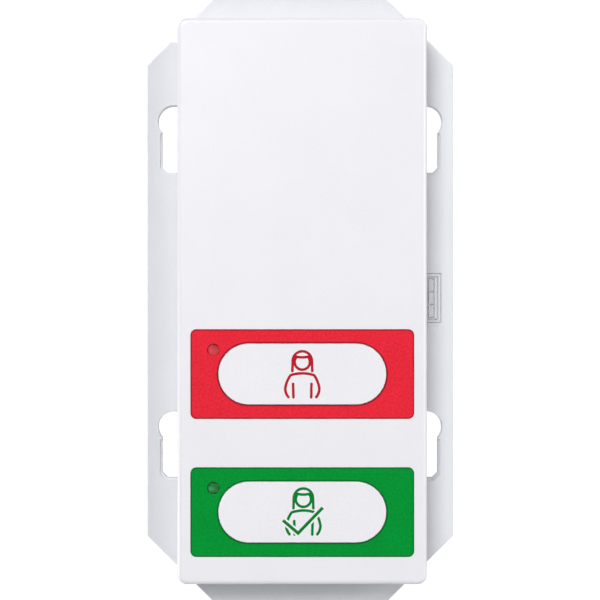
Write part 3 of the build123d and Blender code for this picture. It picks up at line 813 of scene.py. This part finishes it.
def build_markings():
    """Plain printed outlines round the larger parts of the button board."""
    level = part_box("button_board")[0][1]
    bm = bmesh.new()
    for node in OUTLINED:
        low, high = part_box(node)
        size = [high[axis] - low[axis] + 2 * OUTLINE_MARGIN for axis in (0, 2)]
        centre = [(high[axis] + low[axis]) / 2 for axis in (0, 2)]
        outline_frame(bm, *centre, *size, level)
    new_piece("board_outlines", bm, [MARKING], "base")


# ---- stage ----
FLOOR_LEVEL = -1.2
FLOOR_HALF_WIDTH = 4.5
FLOOR_NEAR = -0.8
FLOOR_FAR = 4.5  # short of where the camera's lower edge of view meets the floor


def floor_paper():
    """Pale matt floor with a painted glow, dim under the object and white far out, so that it runs into the
    white backdrop.
    """
    finish = Finish("floor_paper", 0.8)
    cloud = finish.noise(0.05, 3.0)
    finish.colour(finish.ramp(cloud, [(0.3, linear(208, 208, 209)), (0.7, linear(216, 216, 217))]))
    reach = finish.add("ShaderNodeVectorMath", operation="LENGTH")
    finish.link(finish.place, reach.inputs[0])
    share = finish.add("ShaderNodeMapRange")
    share.inputs["From Min"].default_value = -FLOOR_LEVEL
    share.inputs["From Max"].default_value = FLOOR_FAR
    finish.link(reach.outputs["Value"], share.inputs["Value"])
    # painted glow: dim grey under the object, brightening to white far out
    stops = [(0.05, linear(130, 131, 133)), (0.5, linear(205, 206, 208)), (0.95, linear(255, 255, 255))]
    painted_glow = finish.ramp(share.outputs["Result"], stops)
    finish.link(painted_glow, finish.shader.inputs["Emission Color"])
    finish.set(Emission_Strength=1.0)
    return finish.material


def build_floor():
    wide, near, far = FLOOR_HALF_WIDTH, FLOOR_NEAR, FLOOR_FAR
    mesh = bpy.data.meshes.new("floor")
    corners = [(-wide, near), (wide, near), (wide, far), (-wide, far)]
    mesh.from_pydata([(x, y, FLOOR_LEVEL) for x, y in corners], [], [(0, 1, 2, 3)])
    mesh.materials.append(floor_paper())
    floor = bpy.data.objects.new("floor", mesh)
    bpy.context.scene.collection.objects.link(floor)


def area_light(name, place, size, watts):
    """A rectangular softbox aimed at the object."""
    data = bpy.data.lights.new(name, "AREA")
    data.shape = "RECTANGLE"
    data.size, data.size_y = size
    data.energy = watts
    lamp = bpy.data.objects.new(name, data)
    lamp.location = place
    lamp.rotation_euler = (-Vector(place)).to_track_quat("-Z", "Y").to_euler()
    bpy.context.scene.collection.objects.link(lamp)


def build_room():
    """Dim room in front of the wall plane and brighter behind it, against pale paper."""
    world = bpy.data.worlds.new("soft_room")
    world.use_nodes = True
    tree = world.node_tree
    coordinates = tree.nodes.new("ShaderNodeTexCoord")
    split = tree.nodes.new("ShaderNodeSeparateXYZ")
    tree.links.new(coordinates.outputs["Generated"], split.inputs["Vector"])
    room = tree.nodes.new("ShaderNodeMapRange")
    room.inputs["From Min"].default_value, room.inputs["From Max"].default_value = LEVEL_CHANGE
    room.inputs["To Min"].default_value = ROOM_LIGHT
    room.inputs["To Max"].default_value = WALL_LIGHT
    tree.links.new(split.outputs["Y"], room.inputs["Value"])
    seen = tree.nodes.new("ShaderNodeLightPath").outputs["Is Camera Ray"]
    level = tree.nodes.new("ShaderNodeMix")
    tree.links.new(seen, level.inputs["Factor"])
    tree.links.new(room.outputs["Result"], level.inputs["A"])
    level.inputs["B"].default_value = BACKDROP
    background = tree.nodes["Background"]
    tree.links.new(level.outputs["Result"], background.inputs["Strength"])
    background.inputs["Color"].default_value = ROOM_COLOUR
    bpy.context.scene.world = world


def softbox(name, azimuth, elevation, watts):
    """Area light, with azimuth to the right of straight ahead and elevation above it, in degrees."""
    a, e = math.radians(azimuth), math.radians(elevation)
    direction = Vector((math.sin(a) * math.cos(e), -math.cos(a) * math.cos(e), math.sin(e)))
    area_light(name, direction * SOFTBOX_DISTANCE, SOFTBOX_SIZE, watts)


def build_lights():
    softbox("key", -18, 31, 17.0)
    softbox("key_skirt", -18, 10, 3.6)
    softbox("side_fill", 60, 8, 11.5)
    area_light("left_edge", (-0.7, 0.07, -0.22), (0.08, 0.3), 2.0)
    area_light("back_key", (-0.5, 0.8, 0.6), (0.5, 0.5), 2.6)


def build_camera():
    data = bpy.data.cameras.new("camera")
    data.lens = LENS
    data.sensor_width = 36.0
    data.shift_x, data.shift_y = SHIFT
    data.clip_start = 0.01
    data.dof.use_dof = False
    camera = bpy.data.objects.new("camera", data)
    camera.location = (CAMERA_X, -CAMERA_DISTANCE, CAMERA_Z)
    camera.rotation_euler = (math.pi / 2, 0, 0)
    bpy.context.scene.collection.objects.link(camera)
    bpy.context.scene.camera = camera
    bpy.context.scene.view_settings.view_transform = "Standard"


dress_cad_nodes()
for softened_node, edge_width in SOFTENED.items():
    soften(softened_node, edge_width)
for key_name in ("call", "presence"):
    build_springs(key_name)
    build_switch(key_name)
    build_lamp(key_name)
for chip_node in ("board_chip", "control_chip"):
    build_chip(chip_node)
build_board_parts()
build_solder()
build_markings()
build_floor()
build_room()
build_lights()
build_camera()
